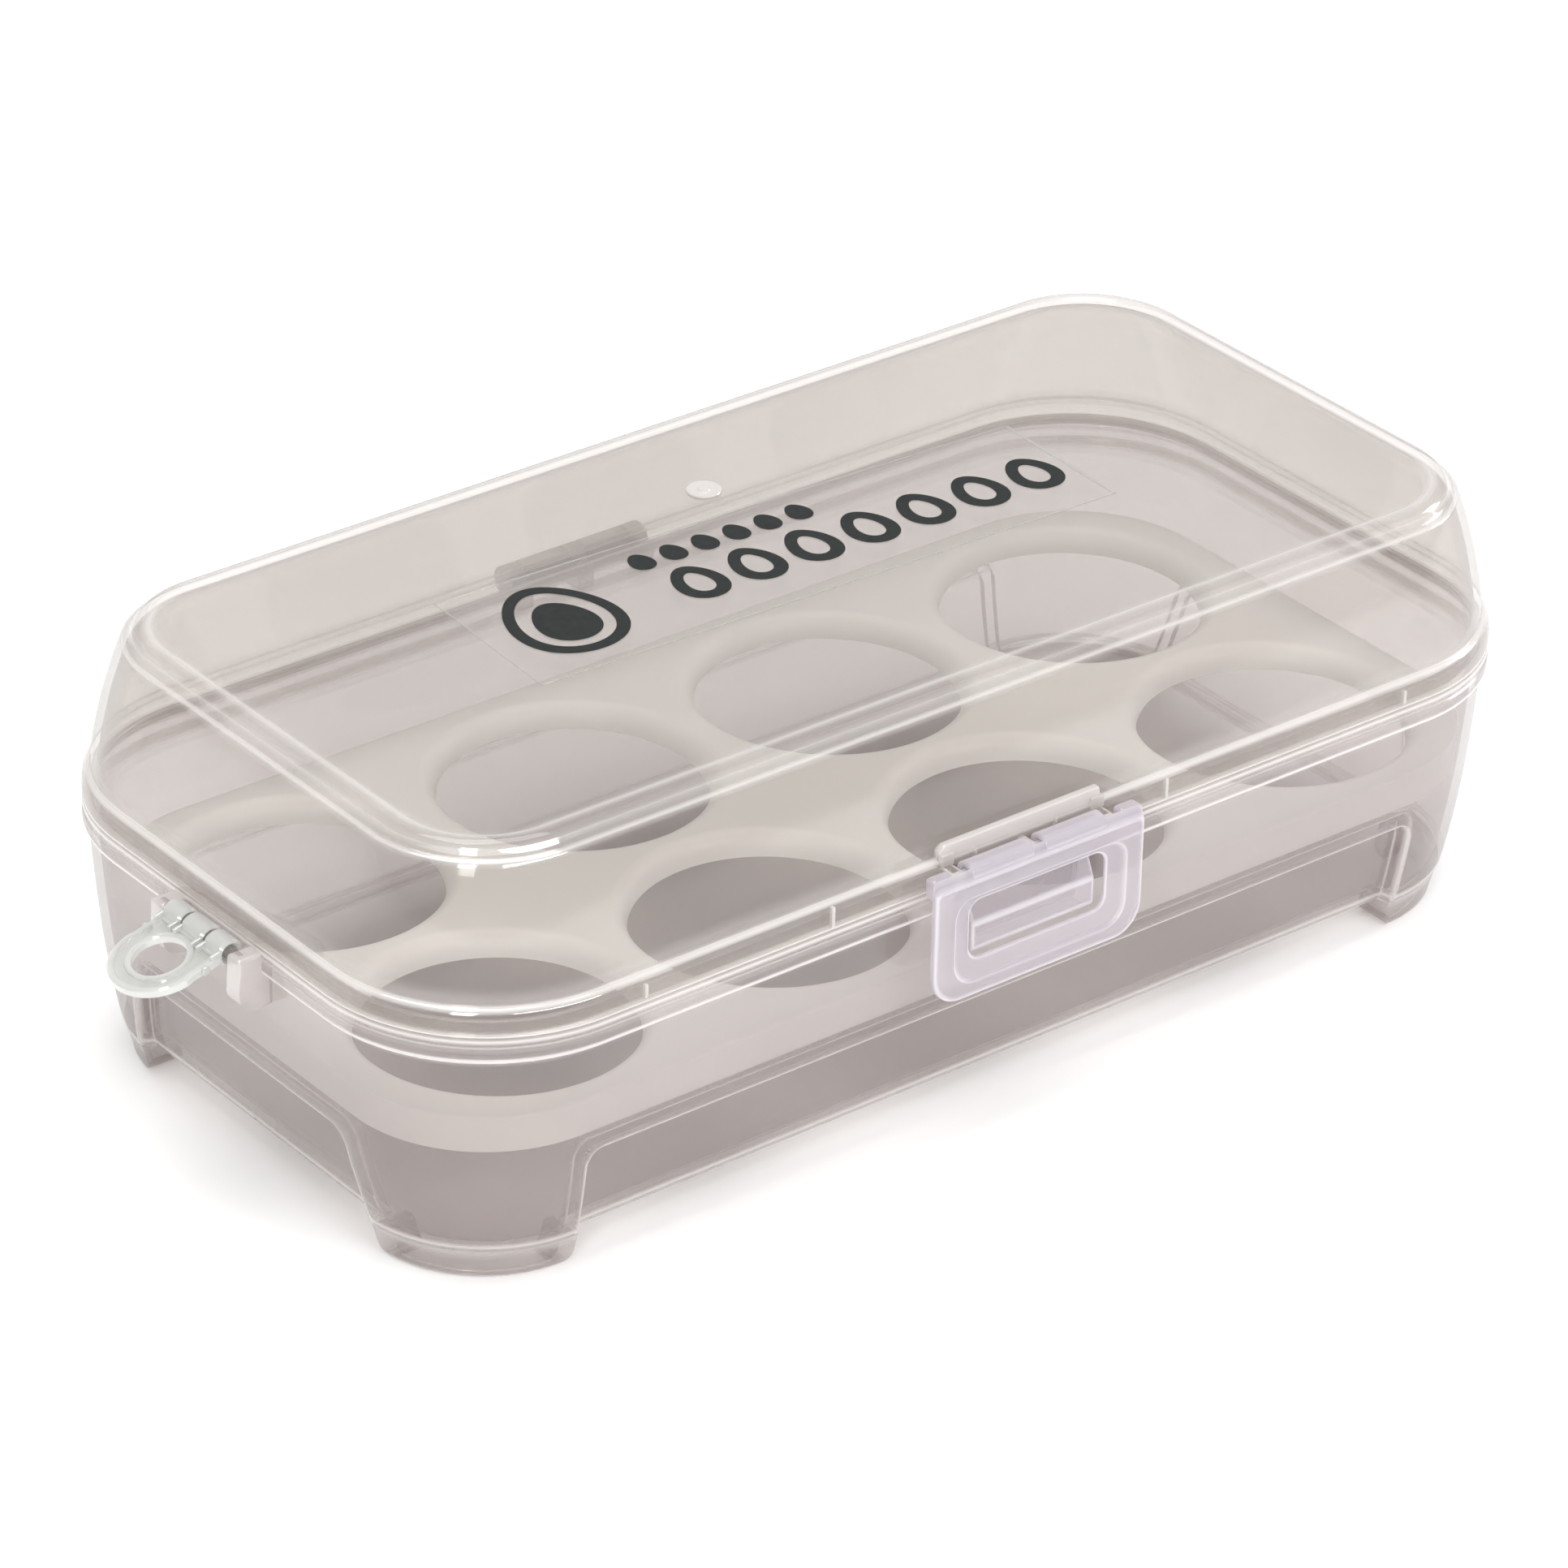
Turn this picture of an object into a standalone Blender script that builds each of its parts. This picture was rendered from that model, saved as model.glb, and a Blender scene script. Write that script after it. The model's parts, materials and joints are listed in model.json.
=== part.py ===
"""Clear plastic egg carton for eight eggs.

A hinged lid, a footed base box, a loose tray with eight dished holes, a snap latch on the lid's front
and a hang tab on the base's left end. Sizes are in millimetres and are scaled to metres on the way in.
X runs along the box, -Y is the front with the latch, Z is up, and the feet stand on Z = 0. The drawing's
X = 0 is the middle of the box; the finished part is moved along X so that its origin is the middle of the
whole footprint, hang tab included.
"""
import math

import bmesh
import bpy
from mathutils import Matrix, Vector

MM = 0.001
GAP = 0.3

# Outline of the box at its parting line
HALF_LENGTH = 105.0
HALF_WIDTH = 54.4
CORNER_RADIUS = 27.9
RADIUS_LOSS = 1.35
CORNER_STEPS = 9
ARC_STEPS = 6
SKIN = 1.3

# Heights
PARTING = 43.1
LID_TOP = 70.0
LEDGE = 20.6
FLOOR = 4.5

# Side wall sections, as (inset from the outline, height)
LID_SECTION = (
    (0.1, PARTING + GAP), (0.3, 45.6), (0.6, 46.9), (1.25, 47.9), (2.0, 52.0), (3.5, 58.0), (5.45, 64.0),
    (6.3, 66.3), (7.1, 67.9), (8.2, 69.1), (9.7, 69.8), (11.4, LID_TOP), (12.2, 69.5),
)
RIM_SECTION = (
    (1.9, 45.2), (1.9, PARTING), (0.1, PARTING), (0.0, 42.6), (0.0, 39.5), (0.5, 38.9), (1.3, 37.9),
)
WALL_SECTION = ((1.5, 32.0), (2.0, 26.0), (2.5, LEDGE + 0.6))
LEG_SECTION = ((2.7, LEDGE), (3.2, 16.0), (4.2, 11.0), (5.4, FLOOR + 1.3), (6.2, FLOOR))
LEG_INNER_SECTION = ((2.7, LEDGE + SKIN), (3.2, 16.0), (4.2, 11.0), (6.2, FLOOR + SKIN))
LIP_INSET = 2.9
LIP_BOTTOM = 38.4
LEDGE_FILLET = 0.35

# Recessed side panels between the legs
PANEL_DEPTH = 2.2
PANEL_STEP = 2.6
LEG_END_ANGLE = 8.0

# Feet below the floor, as (height, inset of the face, shortening at each end)
FOOT_SECTION = ((0.0, 7.4, 1.0), (0.8, 6.95, 0.5), (2.2, 6.55, 0.2), (FLOOR + 0.6, 6.0, 0.0))
FOOT_THICKNESS = 2.0
FOOT_END = 1.6
FOOT_RETURN = 6.0

# Egg tray
TRAY_TOP = 28.5
TRAY_SKIRT_BOTTOM = 22.6
TRAY_SKIRT_INSET = 4.25
TRAY_TOP_INSET = 3.75
HOLE_PITCH_X = 49.0
HOLE_PITCH_Y = 48.0
HOLE_RADIUS = 20.7
HOLE_FLARE = 2.8
HOLE_DROP = 3.8
HOLE_SIDES = 36
TRAY_EDGE = 0.7
FLARE_STEPS = 4

# Rear hinge in the middle of the back: three ears on the base, and two knuckles on the lid between them
HINGE_Y = 57.4
HINGE_Z = 43.3
HINGE_PIN = 1.1
HINGE_EYE = 1.4
HINGE_ROLL = 2.5
KNUCKLE_LENGTH = 8.0
KNUCKLE_RISE = 2.3
EAR_LENGTH = 3.0
EAR_DROP = 3.6
EAR_REACH = 1.2
WEB_ROOT = 0.9

# Latch on the lid's front
LATCH_X = -2.2
LATCH_Y = -56.3
LATCH_Z = 45.8
LATCH_HALF_WIDTH = 19.5
LATCH_TOP = 47.4
LATCH_BOTTOM = 26.5
LATCH_FACE = 2.3
LATCH_BACK = 1.1
LATCH_CORNER = 5.0
LATCH_PIN = 0.8
LATCH_EYE = 1.1
LATCH_ROLL = 2.0
POST_X = 14.0
POST_WIDTH = 2.0
MIDDLE_POST_WIDTH = 1.2
PAD_MARGIN = 1.2
PAD_FRONT = -53.7
PAD_BACK = -52.6
PAD_BOTTOM = 47.5
PAD_TOP = 49.8
SLOT_HALF_WIDTH = 12.6
SLOT_BOTTOM = 32.2
SLOT_TOP = 42.0

# Catch on the base's front, as (Y, Z)
CATCH_HALF_WIDTH = 11.5
CATCH_SECTION = ((-53.2, 42.0), (-55.3, 41.2), (-57.1, 37.4), (-57.1, 33.2), (-56.6, 32.6), (-52.2, 32.2))

# Hang tab on the left end
TAB_X = -107.5
TAB_Z = 41.9
TAB_TILT = 15.0
TAB_REACH = 7.4
TAB_RADIUS = 7.6
TAB_HOLE = 4.1
TAB_THICKNESS = 1.5
TAB_HALF_WIDTH = 7.4
TAB_ARC = 210.0
TAB_SIDES = 24
TAB_PIN = 1.0
TAB_EYE = 1.3
TAB_ROLL = 2.1
LUG_INNER = 8.0
LUG_WIDTH = 3.2
LUG_BOTTOM = 34.0
LUG_REACH = 3.2
LUG_FRONT = 1.4
LUG_ROOT = 2.0

# The left end of the tab, which sets how far the footprint's middle lies from the box's middle
TAB_END = TAB_X - (TAB_REACH + TAB_RADIUS) * math.cos(math.radians(TAB_TILT))
FRAME_SHIFT = Vector((-(HALF_LENGTH + TAB_END) / 2, 0.0, 0.0))

COLOURS = {
    "lid": (0.86, 0.87, 0.86, 0.3),
    "base": (0.80, 0.79, 0.77, 0.4),
    "egg_tray": (0.84, 0.84, 0.82, 1.0),
    "latch": (0.82, 0.79, 0.86, 0.7),
    "hang_tab": (0.84, 0.85, 0.85, 0.7),
}


def clear_scene():
    for item in list(bpy.data.objects):
        bpy.data.objects.remove(item, do_unlink=True)


def new_collection(name):
    collection = bpy.data.collections.new(name)
    bpy.context.scene.collection.children.link(collection)
    return collection


def plastic(name):
    material = bpy.data.materials.new(name + "_plastic")
    material.use_nodes = True
    shader = material.node_tree.nodes["Principled BSDF"]
    red, green, blue, alpha = COLOURS[name]
    shader.inputs["Base Color"].default_value = (red, green, blue, 1.0)
    shader.inputs["Alpha"].default_value = alpha
    shader.inputs["Roughness"].default_value = 0.2
    shader.inputs["Metallic"].default_value = 0.0
    return material


def add_object(name, mesh, collection, origin=(0.0, 0.0, 0.0)):
    """Scale a millimetre mesh to metres and set its origin at the given point of the drawing."""
    mesh.transform(Matrix.Translation(-Vector(origin)))
    mesh.transform(Matrix.Scale(MM, 4))
    item = bpy.data.objects.new(name, mesh)
    item.location = (Vector(origin) + FRAME_SHIFT) * MM
    collection.objects.link(item)
    return item


def mesh_from(bm, name):
    bmesh.ops.recalc_face_normals(bm, faces=bm.faces)
    mesh = bpy.data.meshes.new(name)
    bm.to_mesh(mesh)
    bm.free()
    return mesh


# --- outlines -----------------------------------------------------------------------------------


def corner_arc(inset, wall, height, end_angle=0.0):
    """Points round the corner in the +X +Y quarter, from the end side to the long side."""
    radius = CORNER_RADIUS - RADIUS_LOSS * inset - wall
    centre_x = HALF_LENGTH - inset - wall - radius
    centre_y = HALF_WIDTH - inset - wall - radius
    points = []
    for step in range(CORNER_STEPS + 1):
        angle = math.radians(end_angle + (90.0 - end_angle) * step / CORNER_STEPS)
        x = centre_x + radius * math.cos(angle)
        y = centre_y + radius * math.sin(angle)
        points.append(Vector((x, y, height)))
    return points


def outline(inset, height, wall=0.0, recess=0.0, end_angle=0.0):
    """One closed ring round the box; a recess sets the sides in between the four legs."""
    quarter = corner_arc(inset, wall, height, end_angle)
    shift = wall if recess else 0.0
    first, last = quarter[0], quarter[-1]
    quarter[0] = Vector((first.x, first.y + shift, height))
    quarter[-1] = Vector((last.x + shift, last.y, height))
    panel_end = Vector((first.x - recess, first.y - PANEL_STEP + shift, height))
    panel_side = Vector((last.x - PANEL_STEP + shift, last.y - recess, height))
    quarter = [panel_end] + quarter + [panel_side]
    ring = []
    for sign_x, sign_y in ((1, 1), (-1, 1), (-1, -1), (1, -1)):
        points = [Vector((p.x * sign_x, p.y * sign_y, p.z)) for p in quarter]
        ring += points if sign_x * sign_y > 0 else points[::-1]
    return ring


def leg_ring(inset, height, wall):
    """A ring through the legs, whose corners get a little shorter towards the floor."""
    end_angle = max(0.0, LEG_END_ANGLE * (LEDGE - height) / (LEDGE - FLOOR))
    return outline(inset, height, wall, PANEL_DEPTH, end_angle)


def add_ring(bm, points):
    return [bm.verts.new(point) for point in points]


def bridge(bm, lower, upper):
    count = len(lower)
    for i in range(count):
        j = (i + 1) % count
        bm.faces.new((lower[i], lower[j], upper[j], upper[i]))


# --- small solids -------------------------------------------------------------------------------


def block(name, low, high, collection):
    bm = bmesh.new()
    bmesh.ops.create_cube(bm, size=1.0)
    low, high = Vector(low), Vector(high)
    size = high - low
    matrix = Matrix.Translation((low + high) / 2) @ Matrix.Diagonal((size.x, size.y, size.z, 1.0))
    bmesh.ops.transform(bm, matrix=matrix, verts=bm.verts)
    return add_object(name, mesh_from(bm, name), collection)


def rod(name, centre, radius, length, axis, collection, sides=24):
    bm = bmesh.new()
    bmesh.ops.create_cone(bm, cap_ends=True, segments=sides, radius1=radius, radius2=radius, depth=length)
    turn = Vector((0, 0, 1)).rotation_difference(Vector(axis)).to_matrix().to_4x4()
    bmesh.ops.transform(bm, matrix=Matrix.Translation(Vector(centre)) @ turn, verts=bm.verts)
    return add_object(name, mesh_from(bm, name), collection)


def prism(name, outline_points, offset, collection, origin=(0.0, 0.0, 0.0)):
    """A flat face through the points, extruded by the offset vector."""
    bm = bmesh.new()
    face = bm.faces.new([bm.verts.new(point) for point in outline_points])
    side = bmesh.ops.extrude_face_region(bm, geom=[face])
    moved = [item for item in side["geom"] if isinstance(item, bmesh.types.BMVert)]
    bmesh.ops.translate(bm, verts=moved, vec=Vector(offset))
    return add_object(name, mesh_from(bm, name), collection, origin)


def combine(target, tool, operation):
    modifier = target.modifiers.new(tool.name, "BOOLEAN")
    modifier.operation = operation
    modifier.object = tool
    tool.hide_render = True
    tool.display_type = "WIRE"


def finish(item, material):
    item.data.materials.append(material)
    item.data.shade_smooth()
    item.data.set_sharp_from_angle(angle=math.radians(30))


# --- sub-parts ----------------------------------------------------------------------------------


def make_lid(parts, tools):
    bm = bmesh.new()
    rings = [add_ring(bm, outline(inset, height)) for inset, height in LID_SECTION]
    for lower, upper in zip(rings, rings[1:]):
        bridge(bm, lower, upper)
    bm.faces.new(rings[-1])
    lid = add_object("lid", mesh_from(bm, "lid"), parts, (0.0, HINGE_Y, HINGE_Z))
    shell = lid.modifiers.new("wall", "SOLIDIFY")
    shell.thickness = SKIN * MM
    shell.offset = -1.0
    shell.use_even_offset = True
    for side, name in ((-1, "left"), (1, "right")):
        add_lid_knuckle(lid, tools, side * (EAR_LENGTH + KNUCKLE_LENGTH + 2 * GAP) / 2, name)
    add_latch_posts(lid, tools)
    finish(lid, plastic("lid"))
    return lid


def add_lid_knuckle(lid, tools, x, name):
    half = KNUCKLE_LENGTH / 2
    low = (x - half, HALF_WIDTH - WEB_ROOT, PARTING + 2 * GAP)
    web = block("lid_web_" + name, low, (x + half, HINGE_Y, HINGE_Z + KNUCKLE_RISE), tools)
    roll = rod("lid_roll_" + name, (x, HINGE_Y, HINGE_Z), HINGE_ROLL, KNUCKLE_LENGTH, (1, 0, 0), tools)
    eye = rod("lid_eye_" + name, (x, HINGE_Y, HINGE_Z), HINGE_EYE, KNUCKLE_LENGTH + 2, (1, 0, 0), tools)
    combine(lid, web, "UNION")
    combine(lid, roll, "UNION")
    combine(lid, eye, "DIFFERENCE")


def add_latch_posts(lid, tools):
    reach = POST_X + PAD_MARGIN
    pad_low = (LATCH_X - reach, PAD_FRONT, PAD_BOTTOM)
    combine(lid, block("latch_pad", pad_low, (LATCH_X + reach, PAD_BACK, PAD_TOP), tools), "UNION")
    posts = (("left", -POST_X, POST_WIDTH), ("middle", 0.0, MIDDLE_POST_WIDTH), ("right", POST_X, POST_WIDTH))
    for name, x, width in posts:
        low = (LATCH_X + x - width / 2, LATCH_Y, LATCH_Z - LATCH_PIN)
        high = (LATCH_X + x + width / 2, -HALF_WIDTH + WEB_ROOT, LATCH_Z + LATCH_PIN)
        combine(lid, block("latch_post_" + name, low, high, tools), "UNION")
    pin = rod(
        "latch_pin", (LATCH_X, LATCH_Y, LATCH_Z), LATCH_PIN, 2 * POST_X + POST_WIDTH, (1, 0, 0), tools, 16)
    combine(lid, pin, "UNION")


def make_base(parts, tools):
    bm = bmesh.new()
    outer = [outline(inset, height) for inset, height in RIM_SECTION + WALL_SECTION]
    outer += [leg_ring(inset, height, 0.0) for inset, height in LEG_SECTION]
    inner = [outline(LIP_INSET, height) for height in (RIM_SECTION[0][1], LIP_BOTTOM)]
    inner += [outline(inset, height, SKIN) for inset, height in WALL_SECTION[:-1]]
    inner.append(outline(WALL_SECTION[-1][0], LEDGE + SKIN + LEDGE_FILLET, SKIN))
    inner += [leg_ring(inset, height, SKIN) for inset, height in LEG_INNER_SECTION]
    outer_rings = [add_ring(bm, ring) for ring in outer]
    inner_rings = [add_ring(bm, ring) for ring in inner]
    for rings in (outer_rings, inner_rings):
        for upper, lower in zip(rings, rings[1:]):
            bridge(bm, lower, upper)
        bm.faces.new(rings[-1])
    bridge(bm, outer_rings[0], inner_rings[0])
    base = add_object("base", mesh_from(bm, "base"), parts)
    for sign_y, row in ((-1, "front"), (1, "back")):
        for sign_x, side in ((-1, "left"), (1, "right")):
            combine(base, foot(sign_x, sign_y, row + "_" + side, tools), "UNION")
    catch = [(LATCH_X - CATCH_HALF_WIDTH, y, z) for y, z in CATCH_SECTION]
    combine(base, prism("catch", catch, (2 * CATCH_HALF_WIDTH, 0, 0), tools), "UNION")
    add_base_ears(base, tools)
    for side, name in ((-1, "left"), (1, "right")):
        add_tab_lug(base, tools, side, name)
    pin_length = 2 * LUG_INNER + LUG_WIDTH
    combine(base, rod("tab_pin", (TAB_X, 0, TAB_Z), TAB_PIN, pin_length, (0, 1, 0), tools, 16), "UNION")
    finish(base, plastic("base"))
    return base


def foot(sign_x, sign_y, name, tools):
    """A curved rib that carries a leg's outer face down below the floor, and turns in at both ends."""
    bm = bmesh.new()
    rings = []
    for height, inset, shortening in FOOT_SECTION:
        outside = corner_arc(inset, 0.0, height, LEG_END_ANGLE)
        inside = corner_arc(inset, FOOT_THICKNESS, height, LEG_END_ANGLE)
        outside[0].y += shortening
        outside[-1].x += shortening
        end, side = outside[0], outside[-1]
        inside[0].y = end.y + FOOT_END
        inside[-1].x = side.x + FOOT_END
        side_return = [
            Vector((side.x, side.y - FOOT_RETURN, height)),
            Vector((side.x + FOOT_END, side.y - FOOT_RETURN, height)),
        ]
        end_return = [
            Vector((end.x - FOOT_RETURN, end.y + FOOT_END, height)),
            Vector((end.x - FOOT_RETURN, end.y, height)),
        ]
        loop = outside + side_return + inside[::-1] + end_return
        loop = [Vector((p.x * sign_x, p.y * sign_y, p.z)) for p in loop]
        rings.append(add_ring(bm, loop))
    for lower, upper in zip(rings, rings[1:]):
        bridge(bm, lower, upper)
    bm.faces.new(rings[0])
    bm.faces.new(rings[-1])
    return add_object("foot_" + name, mesh_from(bm, "foot"), tools)


def add_base_ears(base, tools):
    step = EAR_LENGTH + KNUCKLE_LENGTH + 2 * GAP
    for x, name in ((-step, "left"), (0.0, "middle"), (step, "right")):
        low = (x - EAR_LENGTH / 2, HALF_WIDTH - WEB_ROOT, PARTING - EAR_DROP)
        high = (x + EAR_LENGTH / 2, HINGE_Y + EAR_REACH, PARTING - GAP)
        combine(base, block("ear_web_" + name, low, high, tools), "UNION")
        ear = rod("ear_" + name, (x, HINGE_Y, HINGE_Z), HINGE_ROLL, EAR_LENGTH, (1, 0, 0), tools)
        combine(base, ear, "UNION")
    pin = rod("hinge_pin", (0.0, HINGE_Y, HINGE_Z), HINGE_PIN, 2 * step + EAR_LENGTH / 2, (1, 0, 0), tools)
    combine(base, pin, "UNION")


def add_tab_lug(base, tools, side, name):
    """A bracket with a half-round lower end, beside the hang tab."""
    wall_x = -HALF_LENGTH + LUG_ROOT
    front_x = TAB_X - LUG_FRONT
    radius = LUG_REACH
    centre_x = front_x + radius
    centre_z = LUG_BOTTOM + radius
    points = [(wall_x, PARTING - GAP), (front_x, PARTING - GAP)]
    for step in range(ARC_STEPS + 1):
        angle = math.radians(180 + 90 * step / ARC_STEPS)
        points.append((centre_x + radius * math.cos(angle), centre_z + radius * math.sin(angle)))
    points.append((wall_x, LUG_BOTTOM))
    low = LUG_INNER if side > 0 else -LUG_INNER - LUG_WIDTH
    shape = [(px, low, pz) for px, pz in points]
    combine(base, prism("lug_" + name, shape, (0, LUG_WIDTH, 0), tools), "UNION")


def make_tray(parts):
    bm = bmesh.new()
    skirt = [
        add_ring(bm, outline(TRAY_SKIRT_INSET, TRAY_SKIRT_BOTTOM)),
        add_ring(bm, outline(TRAY_TOP_INSET, TRAY_TOP - TRAY_EDGE)),
        add_ring(bm, outline(TRAY_TOP_INSET + TRAY_EDGE, TRAY_TOP)),
    ]
    for lower, upper in zip(skirt, skirt[1:]):
        bridge(bm, lower, upper)
    border = ring_edges(bm, skirt[-1])
    for column in range(4):
        for row in range(2):
            centre = ((column - 1.5) * HOLE_PITCH_X, (row - 0.5) * HOLE_PITCH_Y)
            rings = []
            for step in range(FLARE_STEPS + 1):
                angle = math.radians(90.0 * step / FLARE_STEPS)
                radius = HOLE_RADIUS + HOLE_FLARE * (1 - math.sin(angle))
                height = TRAY_TOP - HOLE_DROP * (1 - math.cos(angle))
                rings.append(add_ring(bm, circle(centre, radius, height)))
            for upper, lower in zip(rings, rings[1:]):
                bridge(bm, lower, upper)
            border += ring_edges(bm, rings[0])
    bmesh.ops.triangle_fill(bm, edges=border, use_beauty=True, normal=(0, 0, 1))
    tray = add_object("egg_tray", mesh_from(bm, "egg_tray"), parts)
    shell = tray.modifiers.new("wall", "SOLIDIFY")
    shell.thickness = SKIN * MM
    shell.offset = -1.0
    shell.use_even_offset = True
    finish(tray, plastic("egg_tray"))
    return tray


def circle(centre, radius, height):
    points = []
    for step in range(HOLE_SIDES):
        angle = 2 * math.pi * step / HOLE_SIDES
        x = centre[0] + radius * math.cos(angle)
        y = centre[1] + radius * math.sin(angle)
        points.append(Vector((x, y, height)))
    return points


def ring_edges(bm, ring):
    return [bm.edges.get((ring[i - 1], ring[i])) for i in range(len(ring))]


def make_latch(parts, tools):
    left, right = LATCH_X - LATCH_HALF_WIDTH, LATCH_X + LATCH_HALF_WIDTH
    face_y = LATCH_Y - LATCH_FACE
    centre_z = LATCH_BOTTOM + LATCH_CORNER
    points = [(right, LATCH_TOP), (left, LATCH_TOP)]
    for centre_x, start in ((left + LATCH_CORNER, 180), (right - LATCH_CORNER, 270)):
        for step in range(ARC_STEPS + 1):
            angle = math.radians(start + 90 * step / ARC_STEPS)
            x = centre_x + LATCH_CORNER * math.cos(angle)
            points.append((x, centre_z + LATCH_CORNER * math.sin(angle)))
    shape = [(px, face_y, pz) for px, pz in points]
    axis = (LATCH_X, LATCH_Y, LATCH_Z)
    latch = prism("latch", shape, (0, LATCH_FACE - LATCH_BACK, 0), parts, axis)
    slot_low = (LATCH_X - SLOT_HALF_WIDTH, face_y - 1, SLOT_BOTTOM)
    slot_high = (LATCH_X + SLOT_HALF_WIDTH, LATCH_Y, SLOT_TOP)
    combine(latch, block("latch_slot", slot_low, slot_high, tools), "DIFFERENCE")
    inner = MIDDLE_POST_WIDTH / 2 + GAP
    outer = POST_X - POST_WIDTH / 2 - GAP
    for side, name in ((-1, "left"), (1, "right")):
        centre = (LATCH_X + side * (inner + outer) / 2, LATCH_Y, LATCH_Z)
        roll = rod("latch_roll_" + name, centre, LATCH_ROLL, outer - inner, (1, 0, 0), tools)
        combine(latch, roll, "UNION")
    eye = rod("latch_eye", axis, LATCH_EYE, 2 * POST_X, (1, 0, 0), tools)
    combine(latch, eye, "DIFFERENCE")
    finish(latch, plastic("latch"))
    return latch


def make_tab(parts, tools):
    """The tab is drawn lying flat, pointing to -X from its hinge, and then tilted down."""
    points = []
    for step in range(TAB_SIDES + 1):
        angle = math.radians(180 + TAB_ARC * (step / TAB_SIDES - 0.5))
        points.append((-TAB_REACH + TAB_RADIUS * math.cos(angle), TAB_RADIUS * math.sin(angle)))
    points += [(0.0, -TAB_HALF_WIDTH), (0.0, TAB_HALF_WIDTH)]
    centre = Vector((TAB_X, 0, TAB_Z))
    tilt = Matrix.Rotation(-math.radians(TAB_TILT), 4, "Y")
    up = tilt @ Vector((0, 0, 1))
    shape = [centre + tilt @ Vector((px, py, -TAB_THICKNESS / 2)) for px, py in points]
    tab = prism("hang_tab", shape, up * TAB_THICKNESS, parts, centre)
    middle = centre + tilt @ Vector((-TAB_REACH, 0, 0))
    hole = rod("tab_hole", middle, TAB_HOLE, 4 * TAB_THICKNESS, up, tools, 32)
    roll = rod("tab_roll", centre, TAB_ROLL, 2 * TAB_HALF_WIDTH, (0, 1, 0), tools)
    eye = rod("tab_eye", centre, TAB_EYE, 2 * TAB_HALF_WIDTH + 2, (0, 1, 0), tools)
    combine(tab, roll, "UNION")
    combine(tab, eye, "DIFFERENCE")
    combine(tab, hole, "DIFFERENCE")
    finish(tab, plastic("hang_tab"))
    return tab


def main():
    clear_scene()
    parts = new_collection("egg_carton")
    tools = new_collection("cutters")
    base = make_base(parts, tools)
    lid = make_lid(parts, tools)
    tray = make_tray(parts)
    latch = make_latch(parts, tools)
    tab = make_tab(parts, tools)
    for child, parent in ((lid, base), (tray, base), (latch, lid), (tab, base)):
        child.parent = parent
        child.matrix_parent_inverse = Matrix.Translation(-parent.location)


main()
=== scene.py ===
"""Looks of a clear plastic egg carton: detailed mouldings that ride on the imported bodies.

Sizes are in millimetres. X and Y are counted from the middle of the box and Z from the floor. A mesh becomes
metres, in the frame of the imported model, when its piece is made.
"""
import json
import math

import bmesh
import bpy
from mathutils import Matrix, Vector


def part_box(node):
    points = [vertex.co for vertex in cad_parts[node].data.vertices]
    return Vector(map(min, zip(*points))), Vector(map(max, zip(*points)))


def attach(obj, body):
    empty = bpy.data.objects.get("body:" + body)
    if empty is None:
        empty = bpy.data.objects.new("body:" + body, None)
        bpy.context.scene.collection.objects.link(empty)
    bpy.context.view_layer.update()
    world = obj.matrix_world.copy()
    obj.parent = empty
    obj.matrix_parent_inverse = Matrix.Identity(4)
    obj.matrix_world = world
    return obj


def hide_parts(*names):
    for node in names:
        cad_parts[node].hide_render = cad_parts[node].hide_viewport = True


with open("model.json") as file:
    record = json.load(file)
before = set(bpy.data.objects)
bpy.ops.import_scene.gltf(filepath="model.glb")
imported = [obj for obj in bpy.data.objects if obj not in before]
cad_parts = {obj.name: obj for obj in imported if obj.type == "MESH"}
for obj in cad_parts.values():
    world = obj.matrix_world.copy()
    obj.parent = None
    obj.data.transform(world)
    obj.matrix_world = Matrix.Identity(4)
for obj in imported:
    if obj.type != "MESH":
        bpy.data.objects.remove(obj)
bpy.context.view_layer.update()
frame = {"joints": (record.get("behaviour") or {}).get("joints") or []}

MM = 0.001
SHARP_ANGLE = 32.0  # an edge sharper than this many degrees is shaded as a crease

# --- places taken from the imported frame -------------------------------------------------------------

joint_at = {j["name"]: Vector(j["pos_m"]) / MM for j in frame["joints"] if "pos_m" in j}
lid_low, lid_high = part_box("lid")
SHIFT = Vector(((lid_low.x + lid_high.x) / 2 / MM, 0.0, 0.0))

HINGE = joint_at["lid_hinge"] - SHIFT
LATCH_PIVOT = joint_at["latch_hinge"] - SHIFT
TAB_PIVOT = joint_at["hang_tab_hinge"] - SHIFT

# --- sizes ------------------------------------------------------------------------------------------

HALF_LENGTH = 105.0
HALF_WIDTH = 54.4
CORNER_RADIUS = 27.9
RADIUS_LOSS = 1.22  # how fast a corner tightens as the outline is inset
SKIN = 1.3
LEDGE = 20.6  # below this the walls step in between the legs, which makes the ledge under the tray
FLOOR = 4.5
LID_PANEL = 69.5  # the sunk face in the middle of the lid's top

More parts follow.
